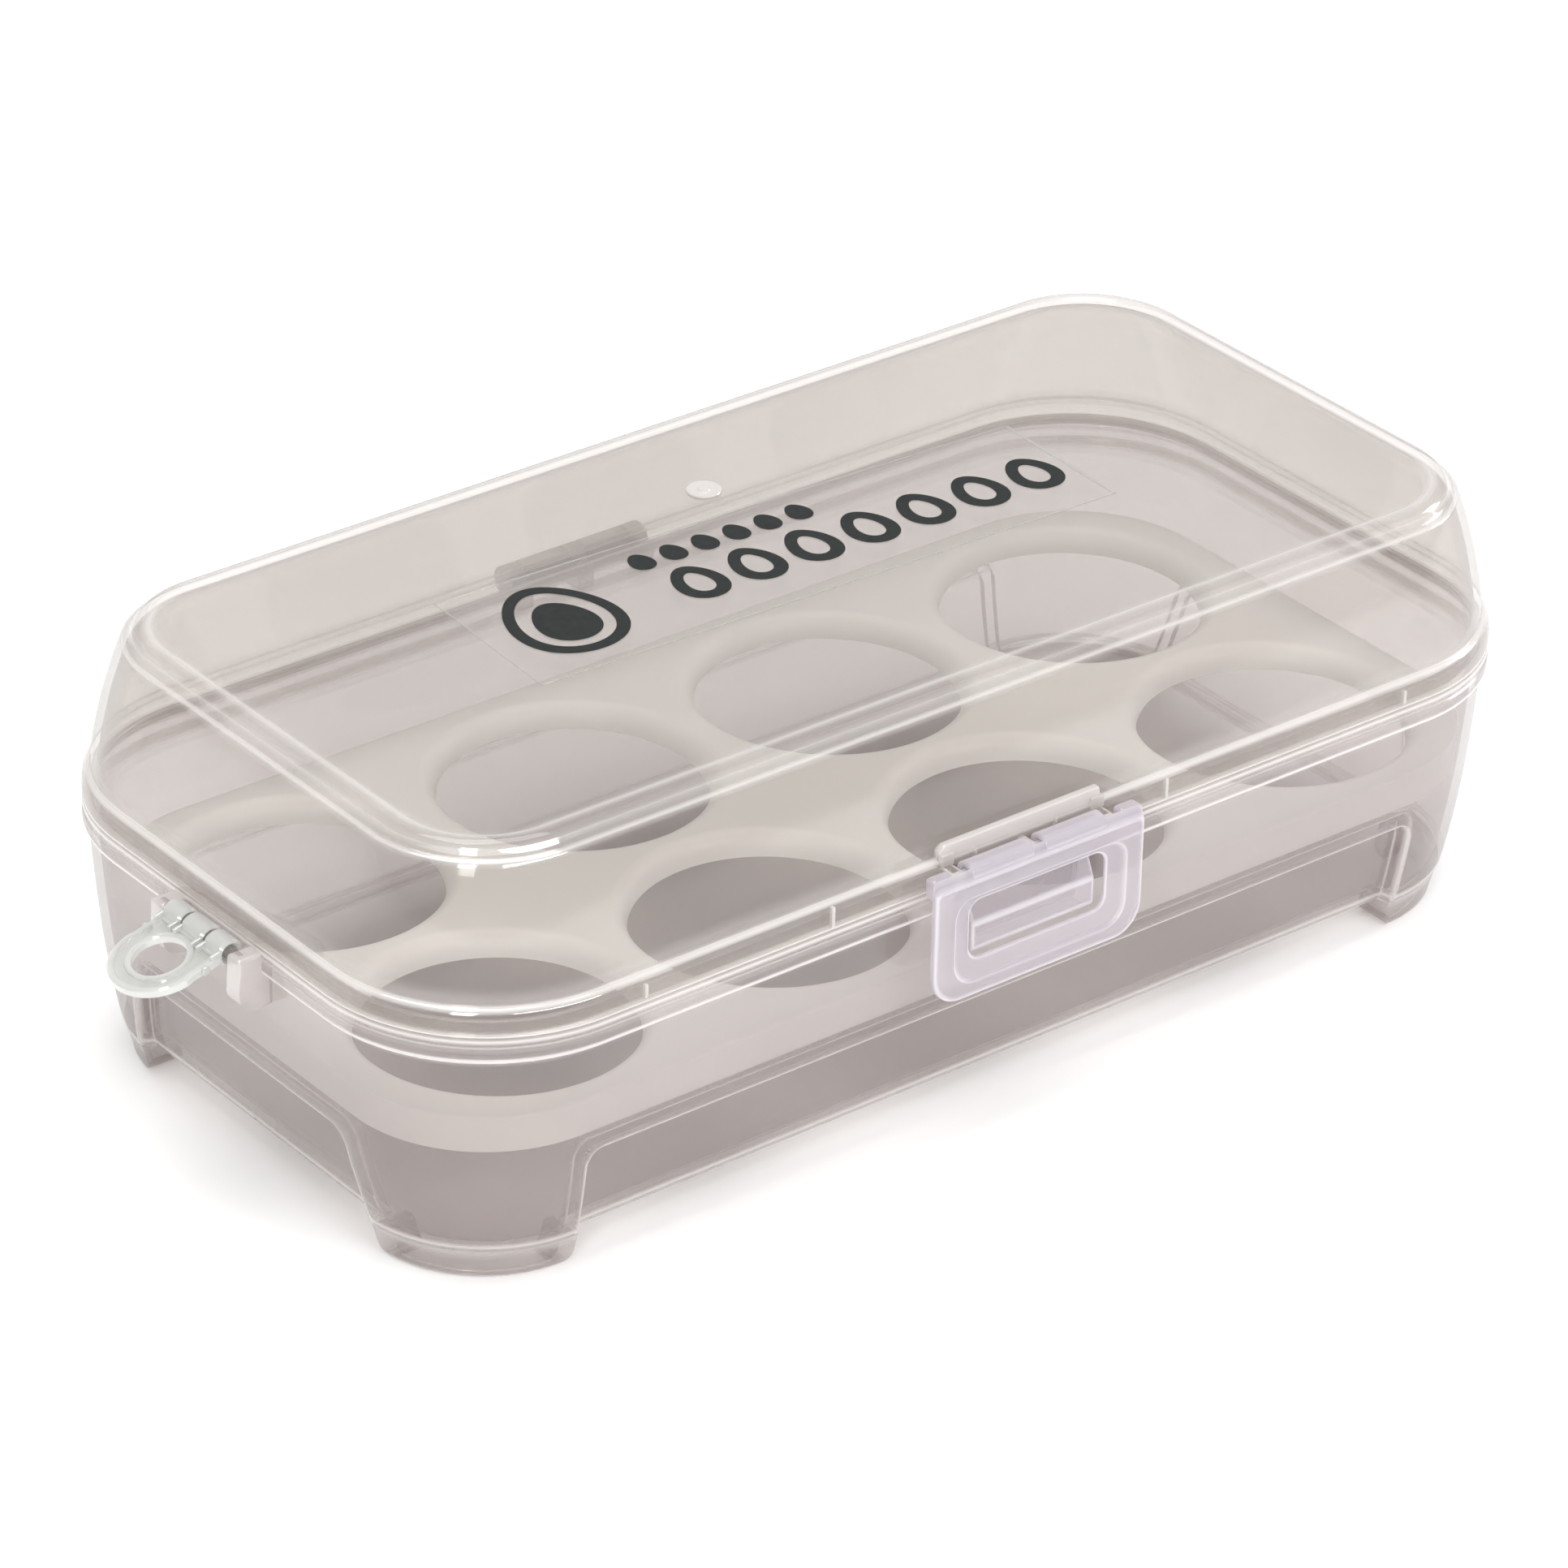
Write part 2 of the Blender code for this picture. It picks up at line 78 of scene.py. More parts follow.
# Wall sections as (inset from the outline, height, how strongly a pale line is painted there as an edge
# highlight)
LID_OUTSIDE = (
    (0.35, 43.42, 0.9), (0.12, 43.6, 0.9), (0.08, 43.95, 0.35), (0.08, 44.3), (0.12, 45.4), (0.28, 46.3),
    (0.5, 46.95, 0.1), (0.85, 47.4, 0.8), (1.2, 47.55, 0.9), (1.45, 47.75, 0.7), (1.55, 48.15, 0.1),
    (1.75, 50.0), (2.05, 52.0), (2.75, 55.0), (3.5, 58.0), (4.45, 61.0), (5.45, 64.0), (6.2, 66.0),
    (6.6, 67.0),
    (6.85, 67.5, 0.2), (7.15, 67.75, 0.7), (7.5, 67.85, 0.5), (7.9, 68.0, 0.1), (8.25, 68.35, 0.1),
    (8.6, 68.95, 0.4), (9.0, 69.45, 0.1), (9.55, 69.8), (10.2, 69.98, 0.1), (10.9, 69.98, 0.4),
    (11.5, 69.85, 0.55), (11.9, 69.62, 0.4), (12.4, LID_PANEL, 0.1), (13.4, LID_PANEL),
)
LID_INSIDE = (
    (1.4, 43.42, 0.9), (1.42, 43.9, 0.2), (1.45, 45.2), (1.75, 46.6, 0.1), (2.3, 47.2, 0.4),
    (2.7, 47.9, 0.3), (3.05, 50.0), (3.4, 52.0), (4.1, 55.0), (4.85, 58.0), (5.8, 61.0), (6.85, 64.0),
    (7.6, 65.8), (8.3, 66.9, 0.2), (9.1, 67.7, 0.3), (10.1, 68.2), (11.2, 68.4, 0.3), (12.6, 68.3, 0.1),
    (13.6, 68.3),
)
RIM_OUTSIDE = (
    (2.05, 45.1, 0.5), (1.95, 44.9, 0.2), (1.95, 43.2), (1.8, 43.1, 0.3), (0.4, 43.1, 0.7),
    (0.12, 42.98, 1.0), (0.02, 42.7, 0.6), (0.02, 42.35, 0.1), (0.1, 42.1, 0.3), (0.3, 41.9, 0.6),
    (0.32, 41.75, 0.6), (0.03, 41.5, 0.2), (0.0, 40.9), (0.0, 40.3, 0.1), (0.0, 40.0, 0.8), (0.1, 39.6, 1.0),
    (0.4, 39.25, 1.0), (0.85, 39.1, 0.7), (1.1, 38.85, 0.3), (1.2, 38.3),
)
RIM_INSIDE = ((2.3, 45.2, 0.5), (2.75, 45.2, 0.5), (2.9, 45.05, 0.2), (2.9, 38.6, 0.2), (2.7, 38.0))
WALL = (
    (6.4, 2.0), (5.6, 5.0), (4.8, 8.0), (4.0, 12.0), (3.3, 16.0), (2.72, 20.0), (2.25, 24.0), (1.85, 28.0),
    (1.5, 32.0), (1.25, 36.0), (1.2, 38.3), (1.2, 40.0),
)

# --- meshes -----------------------------------------------------------------------------------------


def add_piece(name, bm, material, body, weighted=True):
    """Make an object of a millimetre mesh, and let it ride on a body."""
    bmesh.ops.recalc_face_normals(bm, faces=bm.faces)
    mesh = bpy.data.meshes.new(name)
    bm.to_mesh(mesh)
    bm.free()
    mesh.transform(Matrix.Scale(MM, 4) @ Matrix.Translation(SHIFT))
    mesh.shade_smooth()
    mesh.set_sharp_from_angle(angle=math.radians(SHARP_ANGLE))
    piece = bpy.data.objects.new(name, mesh)
    bpy.context.scene.collection.objects.link(piece)
    piece.data.materials.append(material)
    if weighted:
        normals = piece.modifiers.new("normals", "WEIGHTED_NORMAL")
        normals.keep_sharp = True
    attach(piece, body)
    return piece


def radius_at(inset):
    return CORNER_RADIUS - RADIUS_LOSS * inset


def line_of(row):
    """The painted edge highlight of a row of a wall section, which is nothing where the row leaves it out.
    """
    return row[2] if len(row) > 2 else 0.0


def on_circle(radius, angle, height=0.0, x=0.0, y=0.0):
    """A point on a level circle round x, y."""
    return Vector((x + radius * math.cos(angle), y + radius * math.sin(angle), height))


def ring(inset, height, steps=20):
    """A rounded rectangle round the box, as points."""
    radius = radius_at(inset)
    a, b = HALF_LENGTH - inset - radius, HALF_WIDTH - inset - radius
    points = []
    for sx, sy, start in ((1, 1, 0), (-1, 1, 90), (-1, -1, 180), (1, -1, 270)):
        for step in range(steps + 1):
            angle = math.radians(start + 90 * step / steps)
            points.append(on_circle(radius, angle, height, sx * a, sy * b))
    return points


def new_bmesh():
    """A bmesh whose points can carry a painted edge highlight: how strongly a pale line is painted there."""
    bm = bmesh.new()
    bm.verts.layers.float.new("line")
    return bm


def mark(bm, made, line):
    layer = bm.verts.layers.float["line"]
    for vert in made:
        vert[layer] = line


def verts(bm, points, line=0.0):
    layer = bm.verts.layers.float["line"]
    made = [bm.verts.new(point) for point in points]
    for index, vert in enumerate(made):
        vert[layer] = line[index] if isinstance(line, (list, tuple)) else line
    return made


def bridge(bm, one, two):
    count = len(one)
    for i in range(count):
        j = (i + 1) % count
        bm.faces.new((one[i], one[j], two[j], two[i]))


def loft(bm, rings, caps=(True, True), lines=None):
    lines = lines or [0.0] * len(rings)
    rows = [verts(bm, points, line) for points, line in zip(rings, lines)]
    for one, two in zip(rows, rows[1:]):
        bridge(bm, one, two)
    if caps[0]:
        bm.faces.new(rows[0])
    if caps[1]:
        bm.faces.new(rows[-1])
    return rows


def highlight_edges(bm, known, line, width=0.4):
    """Paint an edge highlight on every new point, then leave the middle of each wide flat face clear."""
    made = [vert for vert in bm.verts if vert not in known]
    mark(bm, made, line)
    faces = dict.fromkeys(face for vert in made for face in vert.link_faces)
    wide = [
        face for face in faces
        if face.calc_area() > 3.0 and len(face.verts) < 5
        and min(edge.calc_length() for edge in face.edges) > 2.6 * width]
    wide += [face for face in faces if len(face.verts) > 7]
    if wide:
        bmesh.ops.inset_individual(bm, faces=wide, thickness=width, use_even_offset=True)
        mark(bm, {vert for face in wide for vert in face.verts}, 0.15 * line)


def soften(bm, made, soft, segments):
    """Round every edge that meets some points."""
    edges = list(dict.fromkeys(edge for vert in made for edge in vert.link_edges))
    bmesh.ops.bevel(bm, geom=edges, offset=soft, segments=segments, affect="EDGES", profile=0.5)


def add_block(bm, low, high, soft=0.3, segments=2, line=0.0):
    """A box with rounded edges."""
    known = set(bm.verts)
    low, high = Vector(low), Vector(high)
    size = high - low
    made = bmesh.ops.create_cube(bm, size=1.0)["verts"]
    place = Matrix.Translation((low + high) / 2) @ Matrix.Diagonal((size.x, size.y, size.z, 1.0))
    bmesh.ops.transform(bm, matrix=place, verts=made)
    soften(bm, made, soft, segments)
    highlight_edges(bm, known, line)


def add_turned(bm, centre, axis, profile, sides=40, line=0.0):
    """A closed solid of revolution; the profile is (distance along the axis, radius)."""
    turn = Vector((0, 0, 1)).rotation_difference(Vector(axis)).to_matrix()
    rings = []
    for along, radius in profile:
        rings.append([
            Vector(centre) + turn @ on_circle(radius, 2 * math.pi * step / sides, along)
            for step in range(sides)])
    loft(bm, rings, lines=[line] * len(rings))


def add_rod(bm, centre, axis, radius, length, soft=0.25, sides=40, line=0.0):
    """A pin with rounded ends."""
    half = length / 2
    add_turned(bm, centre, axis, (
        (-half, radius - soft), (-half + 0.3 * soft, radius - 0.3 * soft), (-half + soft, radius),
        (half - soft, radius), (half - 0.3 * soft, radius - 0.3 * soft), (half, radius - soft)), sides, line)


def add_tube(bm, centre, axis, inner, outer, length, soft=0.25, sides=48, line=0.0):
    """A hollow knuckle: a closed ring of revolution."""
    turn = Vector((0, 0, 1)).rotation_difference(Vector(axis)).to_matrix()
    half = length / 2
    section = (
        (-half, inner + soft), (-half, outer - soft), (-half + soft, outer), (half - soft, outer),
        (half, outer - soft), (half, inner + soft), (half - soft, inner), (-half + soft, inner))
    rows = []
    for step in range(sides):
        angle = 2 * math.pi * step / sides
        rows.append(verts(bm, [
            Vector(centre) + turn @ on_circle(radius, angle, along) for along, radius in section], line))
    for i in range(sides):
        bridge(bm, rows[i], rows[(i + 1) % sides])


def add_extrusion(bm, points, offset, soft=0.0, segments=2, line=0.0):
    """A flat outline pushed along the offset, with its long edges softened."""
    known = set(bm.verts)
    near = verts(bm, points, line)
    far = verts(bm, [point + Vector(offset) for point in points], line)
    bridge(bm, near, far)
    bm.faces.new(near)
    bm.faces.new(far)
    if soft:
        soften(bm, near + far, soft, segments)
        highlight_edges(bm, known, line)


def smooth_at(table, height):
    """Catmull-Rom value of a table of (value, height) with rising heights."""
    index = 0
    while index < len(table) - 2 and height > table[index + 1][1]:
        index += 1
    p1, p2 = table[index], table[index + 1]
    p0 = table[max(index - 1, 0)]
    p3 = table[min(index + 2, len(table) - 1)]
    span = p2[1] - p1[1]
    t = min(max((height - p1[1]) / span, 0.0), 1.0)
    m1 = (p2[0] - p0[0]) / max(p2[1] - p0[1], 1e-6) * span
    m2 = (p3[0] - p1[0]) / max(p3[1] - p1[1], 1e-6) * span
    t2, t3 = t * t, t * t * t
    from_one = (2 * t3 - 3 * t2 + 1) * p1[0] + (t3 - 2 * t2 + t) * m1
    return from_one + (3 * t2 - 2 * t3) * p2[0] + (t3 - t2) * m2


# --- materials --------------------------------------------------------------------------------------


def new_material(name):
    material = bpy.data.materials.new(name)
    material.use_nodes = True
    tree = material.node_tree
    tree.nodes.clear()
    return material, tree


def put(tree, kind, **values):
    """Add a node, with its settings and the plain values of its sockets."""
    node = tree.nodes.new(kind)
    for key, value in values.items():
        if hasattr(node, key) and key not in node.inputs:
            setattr(node, key, value)
        else:
            node.inputs[key].default_value = value
    return node


def calc(tree, operation, one, two=None, three=None):
    """A Math node of sockets and numbers."""
    node = tree.nodes.new("ShaderNodeMath")
    node.operation = operation
    for socket, value in zip(node.inputs, (one, two, three)):
        if value is None:
            continue
        if isinstance(value, (int, float)):
            socket.default_value = value
        else:
            tree.links.new(value, socket)
    return node.outputs[0]


def noise(tree, scale, detail=2.0, distortion=0.0):
    place = tree.nodes.new("ShaderNodeTexCoord")
    texture = put(tree, "ShaderNodeTexNoise", Scale=scale, Detail=detail, Distortion=distortion)
    tree.links.new(place.outputs["Object"], texture.inputs["Vector"])
    return texture.outputs["Fac"]


def bumped(tree, waves, wave_depth, grain, grain_depth):
    """Slow moulding waves with a fine grain over them, as a normal."""
    slow = put(tree, "ShaderNodeBump", Distance=wave_depth)
    tree.links.new(noise(tree, waves, 1.5, 0.4), slow.inputs["Height"])
    fine = put(tree, "ShaderNodeBump", Distance=grain_depth)
    tree.links.new(noise(tree, grain, 3.0), fine.inputs["Height"])
    tree.links.new(slow.outputs[0], fine.inputs["Normal"])
    return fine.outputs[0]


def blended(tree, factor, one, two):
    """A colour between two, by a factor."""
    mix = tree.nodes.new("ShaderNodeMix")
    mix.data_type = "RGBA"
    tree.links.new(factor, mix.inputs["Factor"])
    mix.inputs["A"].default_value = (*one, 1.0)
    mix.inputs["B"].default_value = (*two, 1.0)
    return mix.outputs["Result"]


def ramp_of(tree, factor, low, high, ends=(0.0, 1.0)):
    """A colour ramp between two colours."""
    ramp = tree.nodes.new("ShaderNodeValToRGB")
    for stop, colour, place in zip(ramp.color_ramp.elements, (low, high), ends):
        stop.position = place
        stop.color = (*colour, 1.0)
    tree.links.new(factor, ramp.inputs["Fac"])
    return ramp.outputs["Color"]


def show(tree, shader):
    out = tree.nodes.new("ShaderNodeOutputMaterial")
    tree.links.new(shader.outputs[0], out.inputs["Surface"])


def clear_plastic(name, tint, milk_colour, milk, edge, power, gloss, waves, highlight_strength):
    """A see-through skin: a tint, a milky share that grows where the wall is seen edge on, and gloss.

    milk is the least milky share, edge and power say how it grows, waves is the scale and depth of the
    moulding waves, and highlight_strength is how milky a point is where the painted edge highlight is full.
    """
    material, tree = new_material(name)
    link = tree.links.new
    normal = bumped(tree, waves[0], waves[1], 1400.0, 0.000001)
    facing = put(tree, "ShaderNodeLayerWeight", Blend=0.5)
    link(normal, facing.inputs["Normal"])
    turned = facing.outputs["Facing"]

    blotch = calc(tree, "MULTIPLY_ADD", noise(tree, 28.0, 4.0, 0.6), 0.7, 0.65)
    share = calc(tree, "MULTIPLY_ADD", calc(tree, "POWER", turned, power), edge, milk)
    # Painted edge highlight: pale lines laid along edges and ridges in place of their highlights and
    # refracted light; they make the skin milkier, brighter in tone and glossier there.
    highlight_mask = put(tree, "ShaderNodeAttribute", attribute_name="line").outputs["Fac"]
    share = calc(tree, "MULTIPLY_ADD", highlight_mask, highlight_strength, calc(tree, "MULTIPLY", share, blotch))
    share = calc(tree, "MINIMUM", share, 0.97)
    milk_and_highlight_tone = blended(tree, highlight_mask, milk_colour, [min(c * 1.25, 0.92) for c in milk_colour])

    through = tree.nodes.new("ShaderNodeBsdfTransparent")
    deep = blended(tree, calc(tree, "POWER", turned, 8.0), tint, [0.3 * c for c in tint])
    link(deep, through.inputs["Color"])
    solid = put(tree, "ShaderNodeBsdfPrincipled", IOR=1.49)
    link(milk_and_highlight_tone, solid.inputs["Base Color"])
    rough = calc(tree, "MULTIPLY_ADD", noise(tree, 220.0, 5.0), 0.16, gloss + 0.06)
    link(rough, solid.inputs["Roughness"])
    link(normal, solid.inputs["Normal"])
    glow = tree.nodes.new("ShaderNodeBsdfTranslucent")
    link(milk_and_highlight_tone, glow.inputs["Color"])
    milky = put(tree, "ShaderNodeMixShader", Fac=0.35)
    link(solid.outputs[0], milky.inputs[1])
    link(glow.outputs[0], milky.inputs[2])
    inner = tree.nodes.new("ShaderNodeMixShader")
    link(share, inner.inputs["Fac"])
    link(through.outputs[0], inner.inputs[1])
    link(milky.outputs[0], inner.inputs[2])

    mirror = put(tree, "ShaderNodeBsdfAnisotropic", Color=(1.0, 1.0, 1.0, 1.0))
    shine = calc(tree, "MULTIPLY_ADD", noise(tree, 60.0, 4.0), 0.07, gloss)
    link(shine, mirror.inputs["Roughness"])
    link(normal, mirror.inputs["Normal"])
    fresnel = calc(tree, "MULTIPLY_ADD", calc(tree, "POWER", turned, 5.0), 0.45, 0.045)
    fresnel = calc(tree, "MULTIPLY_ADD", highlight_mask, 0.12, fresnel)
    outer = tree.nodes.new("ShaderNodeMixShader")
    link(fresnel, outer.inputs["Fac"])
    link(inner.outputs[0], outer.inputs[1])
    link(mirror.outputs[0], outer.inputs[2])
    show(tree, outer)
    return material


def white_plastic(name):
    """Milky white moulding: satin, faintly mottled, with a little light coming through."""
    material, tree = new_material(name)
    link = tree.links.new
    normal = bumped(tree, 55.0, 0.00005, 1600.0, 0.000006)
    cloud = noise(tree, 30.0, 4.0, 0.5)
    mottle = ramp_of(tree, cloud, (0.88, 0.875, 0.855), (0.93, 0.925, 0.915), (0.25, 0.75))
    solid = put(tree, "ShaderNodeBsdfPrincipled", IOR=1.49)
    link(mottle, solid.inputs["Base Color"])
    link(calc(tree, "MULTIPLY_ADD", noise(tree, 300.0, 4.0), 0.2, 0.24), solid.inputs["Roughness"])
    link(normal, solid.inputs["Normal"])
    glow = tree.nodes.new("ShaderNodeBsdfTranslucent")
    link(mottle, glow.inputs["Color"])
    mix = put(tree, "ShaderNodeMixShader", Fac=0.14)
    link(solid.outputs[0], mix.inputs[1])
    link(glow.outputs[0], mix.inputs[2])
    show(tree, mix)
    return material


def printed_ink(name):
    """Near-black ink, dull and a little uneven."""
    material, tree = new_material(name)
    link = tree.links.new
    solid = put(tree, "ShaderNodeBsdfPrincipled", IOR=1.45)
    solid.inputs["Specular IOR Level"].default_value = 0.2
    uneven = ramp_of(tree, noise(tree, 900.0, 3.0), (0.006, 0.008, 0.008), (0.018, 0.022, 0.021))
    link(uneven, solid.inputs["Base Color"])
    link(calc(tree, "MULTIPLY_ADD", noise(tree, 400.0, 3.0), 0.15, 0.35), solid.inputs["Roughness"])
    link(bumped(tree, 200.0, 0.000004, 2500.0, 0.000002), solid.inputs["Normal"])
    show(tree, solid)
    return material


lid_clear = clear_plastic(
    "lid_clear", tint=(0.862, 0.846, 0.832), milk_colour=(0.72, 0.695, 0.68), milk=0.03, edge=0.45,
    power=3.0, gloss=0.035, waves=(40.0, 0.00006), highlight_strength=0.8)
base_milky = clear_plastic(
    "base_milky", tint=(0.835, 0.812, 0.808), milk_colour=(0.68, 0.645, 0.635), milk=0.07, edge=0.35,
    power=2.6, gloss=0.08, waves=(50.0, 0.00005), highlight_strength=0.8)
latch_clear = clear_plastic(
    "latch_clear", tint=(0.925, 0.905, 0.925), milk_colour=(0.64, 0.605, 0.65), milk=0.2, edge=0.4,
    power=2.0, gloss=0.05, waves=(90.0, 0.00008), highlight_strength=0.62)
tab_clear = clear_plastic(
    "tab_clear", tint=(0.93, 0.932, 0.922), milk_colour=(0.60, 0.605, 0.59), milk=0.2, edge=0.4,
    power=2.0, gloss=0.06, waves=(90.0, 0.00006), highlight_strength=0.62)
film_clear = clear_plastic(
    "film_clear", tint=(0.985, 0.98, 0.975), milk_colour=(0.72, 0.70, 0.69), milk=0.01, edge=0.2,
    power=3.0, gloss=0.04, waves=(120.0, 0.00002), highlight_strength=0.7)
tray_white = white_plastic("tray_white")
ink_black = printed_ink("ink_black")

# --- lid --------------------------------------------------------------------------------------------

KNUCKLE_X = 5.8
PIN_POSTS = ((-14.0, 2.0), (0.0, 1.2), (14.0, 2.0))  # place and width of the posts that hold the latch's pin
FILM_LIFT = 0.02
FILM = 0.1
INK_LIFT = 0.13
INK = 0.05
LABEL_CORNERS = ((-54.1, 18.1), (-55.9, -10.7), (48.8, -13.4), (49.7, 13.4))
LABEL_TURN = -2.0


def make_lid():
    bm = new_bmesh()
    shells = [
        loft(bm, [ring(row[0], row[1]) for row in table], (False, True), [line_of(row) for row in table])
        for table in (LID_OUTSIDE, LID_INSIDE)]
    bridge(bm, shells[0][0], shells[1][0])
    add_gate_mark(bm)
    add_band_ribs(bm)
    add_latch_mount(bm)
    for side in (-1, 1):
        add_lid_knuckle(bm, side * KNUCKLE_X)
    lid = add_piece("lid_moulding", bm, lid_clear, "lid")
    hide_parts("lid")


def add_gate_mark(bm):
    """The shallow dish with a nub that the moulding gate leaves."""
    profile = (
        (-0.5, 0.02), (-0.5, 2.6), (-0.05, 2.75), (0.12, 2.6), (0.16, 2.35), (0.1, 2.0), (0.03, 1.5),
        (0.05, 1.05), (0.3, 0.85), (0.38, 0.6), (0.36, 0.3), (0.36, 0.02))
    # The whole mark carries a strong painted pale highlight.
    add_turned(bm, (-0.4, 23.9, LID_PANEL), (0, 0, 1), profile, 36, 0.75)


def add_band_ribs(bm):
    """Small upright marks on the front of the lid's band."""
    for x, low, high in ((-37.0, 43.9, 47.2), (25.0, 43.9, 47.2), (72.0, 44.2, 46.4), (-70.0, 44.2, 46.4)):
        add_block(bm, (x - 0.3, -HALF_WIDTH + 0.02, low), (x + 0.3, -HALF_WIDTH + 0.7, high), 0.12, line=0.6)


def add_latch_mount(bm):
    """The pad above the latch, its posts and the pin that the latch turns on."""
    x, y, z = LATCH_PIVOT
    wall = -HALF_WIDTH + 0.9
    corners = ((-15.2, 47.4), (15.1, 47.4), (14.7, 49.8), (-14.2, 49.8), (-15.2, 49.0))
    known = set(bm.verts)
    add_extrusion(bm, [Vector((x + px, -53.65, pz)) for px, pz in corners], (0, 1.3, 0), 0.22)
    # The pad is painted with a strong pale edge highlight all over.
    mark(bm, [vert for vert in bm.verts if vert not in known], 0.85)
    for offset, width in PIN_POSTS:
        low, high = x + offset - width / 2, x + offset + width / 2
        add_block(bm, (low, y - 0.3, z - 0.8), (high, wall, z + 0.8), 0.2, line=0.7)
    for offset in (-14.0, 14.0):
        add_block(bm, (x + offset - 1.2, -54.3, 46.7), (x + offset + 1.2, -53.0, 48.6), 0.25, line=0.5)
    for offset in (-8.5, 6.5):
        add_block(bm, (x + offset - 0.2, -53.95, 45.2), (x + offset + 0.2, -53.3, 47.6), 0.1, line=0.6)
    add_rod(bm, (x, y, z), (1, 0, 0), 0.8, 30.0, 0.2, 24, 0.6)


def add_lid_knuckle(bm, x):
    add_tube(bm, (x, HINGE.y, HINGE.z), (1, 0, 0), 1.4, 2.5, 8.0, line=0.5)
    add_block(bm, (x - 4.0, HALF_WIDTH - 1.0, 43.7), (x + 4.0, HINGE.y - 1.2, 45.5), 0.25, line=0.2)


def egg(width, height, count=48):
    """An egg's outline, with its blunt end down."""
    points = []
    for step in range(count):
        angle = 2 * math.pi * step / count
        x = width / 2 * math.sin(angle) * (1 - 0.17 * math.cos(angle))
        points.append(Vector((x, height / 2 * math.cos(angle), 0.0)))
    return points


def make_label():
    """A clear film on the lid's top with a generic print of eggs."""
    corners = [Vector((x, y, LID_PANEL + FILM_LIFT)) for x, y in LABEL_CORNERS]
    bm = new_bmesh()
    add_extrusion(bm, corners, (0, 0, FILM))
    add_piece("label_film", bm, film_clear, "lid", weighted=False)

    bm = new_bmesh()
    for one, two in zip(corners, corners[1:] + corners[:1]):
        along = (two - one).normalized()
        across = Vector((-along.y, along.x, 0))
        # Painted highlight: the right edge gets a wide pale strip where it catches the light, the other
        # edges thin pale lines.
        width = 0.42 if along.y > 0.9 else 0.16
        points = [one - across * 0.02, two - across * 0.02, two + across * width, one + across * width]
        add_extrusion(bm, points, (0, 0, FILM + 0.02), line=0.12)
    add_piece("label_edge_highlight", bm, tab_clear, "lid", weighted=False)

    bm = new_bmesh()
    turn = Matrix.Rotation(math.radians(LABEL_TURN), 3, "Z")

    def placed(points, centre, lift=0.0):
        return [turn @ (Vector((*centre, LID_PANEL + INK_LIFT + lift)) + point) for point in points]

    def stamp(points, centre):
        add_extrusion(bm, placed(points, centre), (0, 0, INK))

    def ring_mark(outer, inner, centre):
        loop = ((outer, 0.0), (inner, 0.0), (inner, INK), (outer, INK))
        rows = [verts(bm, placed(points, centre, lift)) for points, lift in loop]
        for index in range(4):
            bridge(bm, rows[index], rows[(index + 1) % 4])

    ring_mark(egg(17.5, 21.0), egg(13.6, 17.1), (-42.0, 2.0))
    stamp(egg(9.6, 12.0), (-42.0, 1.2))
    for column in range(6):
        stamp(egg(4.0, 5.0), (-22.5 + 5.7 * column, 9.9))
    for column in range(7):
        ring_mark(egg(8.2, 10.4), egg(4.0, 6.2), (-19.0 + 10.3 * column, 0.2))
    add_piece("label_print", bm, ink_black, "lid", weighted=False)


# --- base -------------------------------------------------------------------------------------------

LEG_SIDE_TOP, LEG_SIDE_BOTTOM = 78.0, 77.8
LEG_END_TOP, LEG_END_BOTTOM = 26.4, 29.8
FOOT_HEIGHTS = (0.0, 0.08, 0.25, 0.55, 1.0, 1.6, 2.3, 3.4, 5.0)
# Painted pale highlight lines on the foot, one for each height.
FOOT_HIGHLIGHTS = (0.6, 0.8, 0.4, 0.1, 0.0, 0.0, 0.0, 0.1, 0.4)
FOOT_INSET = ((7.1, 0.0), (6.75, 1.5), (6.35, 3.0), (5.75, 5.0), (5.0, 7.0))
FOOT_SOFT = 0.6
FOOT_ROUND = 2.2
FOOT_WALL = 1.6
FOOT_RETURN = 6.0
PANEL_DEPTH = 2.2
PANEL_ROUND = 3.0
PANEL_SOFT = 0.9
STEP_OFFSETS = (0.0, 0.15, 0.3, 0.5, 0.7, 0.9, 1.3, 1.8, 2.4, 3.0, 3.6)  # from a panel's edge inwards
LUG_NEAR, LUG_WIDTH, LUG_ROUND = 8.0, 3.2, 3.2
EAR_X = (-11.6, 0.0, 11.6)
CATCH_HALF = 11.5


def recess(inside, height, wall):
    """How far the panel is set in, at a distance inside its edge, and how strongly a painted pale highlight
    line is laid along that edge there.
    """
    below = LEDGE + wall - height
    if inside < PANEL_ROUND and below < PANEL_ROUND:
        depth = PANEL_ROUND - math.hypot(PANEL_ROUND - inside, PANEL_ROUND - below)
    else:
        depth = min(inside, below)
    t = min(max(depth / PANEL_SOFT, 0.0), 1.0)
    # A painted pale highlight line along the panel's edge, strongest at its lip and on its bend.
    edge = max(0.0, 1.0 - abs(depth - 0.1) / 0.4, 0.6 - abs(depth - 0.9) / 0.35)
    return PANEL_DEPTH * t * t * (3 - 2 * t), edge


def edge_at(height, edge_top, edge_bottom, wall):
    """Where a leg's slanting edge is at a height."""
    share = (LEDGE - height) / (LEDGE - FLOOR)
    return edge_top + (edge_bottom - edge_top) * min(max(share, -0.2), 1.0) + wall


